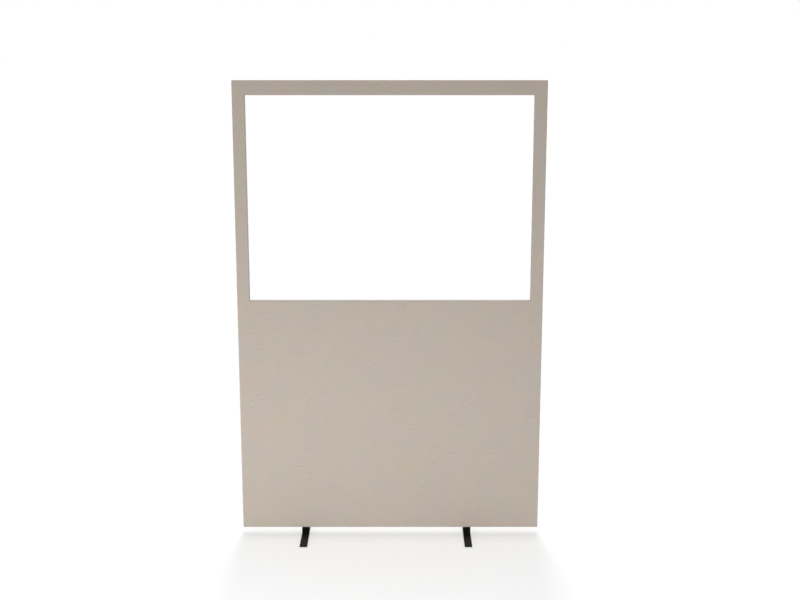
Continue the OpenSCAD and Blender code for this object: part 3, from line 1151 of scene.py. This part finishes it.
def lamp_behind_on_floor(p):
    """Light that each place on the floor has from the lamp behind, where the screen doesn't shade it."""
    to_lamp = p.vector("SUBTRACT", BACK_PLACE, p.place())
    ahead = p.math("MAXIMUM", p.vector("DOT_PRODUCT", to_lamp, BACK_PLACE.normalized()), 0.0)
    square = p.vector("DOT_PRODUCT", to_lamp, to_lamp)
    strength = BACK_STRENGTH * BACK_PLACE.length_squared * BACK_PLACE.z
    return p.times(p.math("DIVIDE", ahead, p.math("MULTIPLY", square, square)), strength)


def floor_paint():
    """White where nothing shades it: the camera sees its own light and a share of what falls on it."""
    p = Paint("pale_floor")
    p.nodes.remove(p.shader)
    steady = WORLD_LIGHT + TOP_STRENGTH / math.pi
    light = p.math("MULTIPLY_ADD", lamp_behind_on_floor(p), 1 / math.pi, steady)
    own_light = p.math("MULTIPLY_ADD", light, -FLOOR_SHADOW, FLOOR_WHITE)
    both = p.add("AddShader")
    p.links.new(p.grey("BsdfDiffuse", FLOOR_SHADOW), both.inputs[0])
    p.links.new(p.glow("Emission", own_light), both.inputs[1])
    p.finish(p.mixed(p.seen_directly(), p.grey("BsdfDiffuse", FLOOR_COLOUR), both.outputs[0]))
    return p.material


def white_floor():
    """A wide pale floor that keeps the screen's shadow."""
    bm = bmesh.new()
    bmesh.ops.create_grid(bm, x_segments=1, y_segments=1, size=FLOOR_REACH)
    mesh = bpy.data.meshes.new("floor")
    bm.to_mesh(mesh)
    bm.free()
    mesh.materials.append(floor_paint())
    floor = bpy.data.objects.new("floor", mesh)
    bpy.context.scene.collection.objects.link(floor)


def plain_world():
    """Even light all round, and white behind the screen."""
    world = bpy.data.worlds.new("studio")
    bpy.context.scene.world = world
    world.use_nodes = True
    w = Nodes(world.node_tree)
    w.nodes.clear()
    sky = w.mixed(w.seen_directly(), w.glow("Background", WORLD_LIGHT), w.glow("Background", 1.0))
    w.links.new(sky, w.add("OutputWorld").inputs[0])


def lamp(data, at, towards):
    """Places a lamp that gives light but shows nowhere, neither directly nor in the pane or a gloss."""
    made = bpy.data.objects.new(data.name, data)
    made.location = at
    made.rotation_mode = "QUATERNION"
    made.rotation_quaternion = (Vector(towards) - Vector(at)).to_track_quat("-Z", "Y")
    made.visible_camera = False
    made.visible_glossy = False
    made.visible_transmission = False
    bpy.context.scene.collection.objects.link(made)


def soft_box(name, at, towards, size, power):
    """A rectangular lamp with soft shadows."""
    data = bpy.data.lights.new(name, "AREA")
    data.shape = "RECTANGLE"
    data.size = size[0]
    data.size_y = size[1]
    data.energy = power
    lamp(data, at, towards)


def top_lamp():
    """Even light from almost straight above. It lays the dark line of the shade under the panel."""
    data = bpy.data.lights.new("top_light", "SUN")
    data.angle = math.radians(TOP_SPREAD)
    data.energy = TOP_STRENGTH
    away = 3
    rise = math.radians(TOP_RISE)
    lamp(data, (0, away * math.cos(rise), away * math.sin(rise)), (0, 0, 0))


def back_lamp():
    """A wide lamp behind and above. Its light spreads, so the shade widens towards the camera."""
    data = bpy.data.lights.new("back_light", "AREA")
    data.shape = "DISK"
    data.size = 2 * BACK_PLACE.length * math.tan(math.radians(BACK_SPREAD / 2))
    data.energy = BACK_STRENGTH * math.pi * BACK_PLACE.length ** 2
    lamp(data, BACK_PLACE, (0, 0, 0))


def camera():
    """At the photograph's viewing angle: level across, tilted down from above the top of the screen."""
    data = bpy.data.cameras.new("camera")
    data.lens = 57.32
    data.sensor_width = 36.0
    data.clip_start = 0.1
    data.clip_end = 300
    made = bpy.data.objects.new("camera", data)
    made.location = (0.0392, -4.901, 2.043)
    made.rotation_euler = (math.radians(90 - CAMERA_TILT), 0, 0)
    bpy.context.scene.collection.objects.link(made)
    bpy.context.scene.camera = made


# Angles are in degrees
CAMERA_TILT = 12.27

# Light of the even world, of the lamp behind and of the lamp overhead
WORLD_LIGHT = 0.565
BACK_PLACE = Vector((0, 6.2, 7.9))
BACK_SPREAD = 14
BACK_STRENGTH = 1.22
TOP_RISE = 89.5
TOP_SPREAD = 5
TOP_STRENGTH = 0.95

# The floor: its colour for the light that it throws back, the share of the light that the camera sees
# on it, and what that share and the floor's own light make together where nothing shades it
FLOOR_COLOUR = 0.74
FLOOR_SHADOW = 0.5
FLOOR_WHITE = 1.012
FLOOR_REACH = 60

FABRIC = woven_fabric()
FELT = fibres("felt", (0.78, 0.75, 0.70), (0.62, 0.59, 0.54), 320.0, (1.0, 2.5, 1.0))
ABSORBER = fibres("fibre_batt", (0.34, 0.35, 0.29), (0.20, 0.21, 0.17), 160.0, (1.0, 3.0, 1.0))
VINYL = extruded_plastic(
    "edge_vinyl", (0.46, 0.395, 0.335), (0.40, 0.345, 0.29), (500.0, 500.0, 500.0), (0.45, 0.6)
)
ACRYLIC = acrylic()
POWDER = powder_coat()
RUBBER = rubber()
STEEL = metal("zinc_steel", (0.62, 0.62, 0.60), (0.45, 0.45, 0.44), (0.28, 0.45), (400.0, 400.0, 400.0))

camera()
plain_world()
white_floor()
soft_box("key", at=(-0.3, -1.6, 0.21), towards=(-0.05, 0, 0.21), size=(2.4, 0.4), power=12.5)
soft_box("side", at=(-1.6, -1.2, 1.4), towards=(-0.6, 0, 1.4), size=(0.6, 0.9), power=1.8)
back_lamp()
top_lamp()
bpy.context.scene.view_settings.view_transform = "Standard"

felt_sheet("felt_front", FRONT, "wadding_front")
felt_sheet("felt_rear", REAR, "wadding_rear")
cloth_cover("cloth_front", FRONT, "fabric_cover_front")
cloth_cover("cloth_rear", REAR, "fabric_cover_rear")
batt("fibre_batt_left", "acoustic_batt_left")
batt("fibre_batt_right", "acoustic_batt_right")
edge_spline("spline_left", "edge_spline_left", along=Vector((0, 0, 1)), out=Vector((-1, 0, 0)))
edge_spline("spline_right", "edge_spline_right", along=Vector((0, 0, 1)), out=Vector((1, 0, 0)))
edge_spline("spline_top", "edge_spline_top", along=Vector((1, 0, 0)), out=Vector((0, 0, 1)))
hem_staples()
clear_pane()
for side in SIDES:
    foot_bar(side)
    foot_block(side)
glide_pads()
dress_frame()
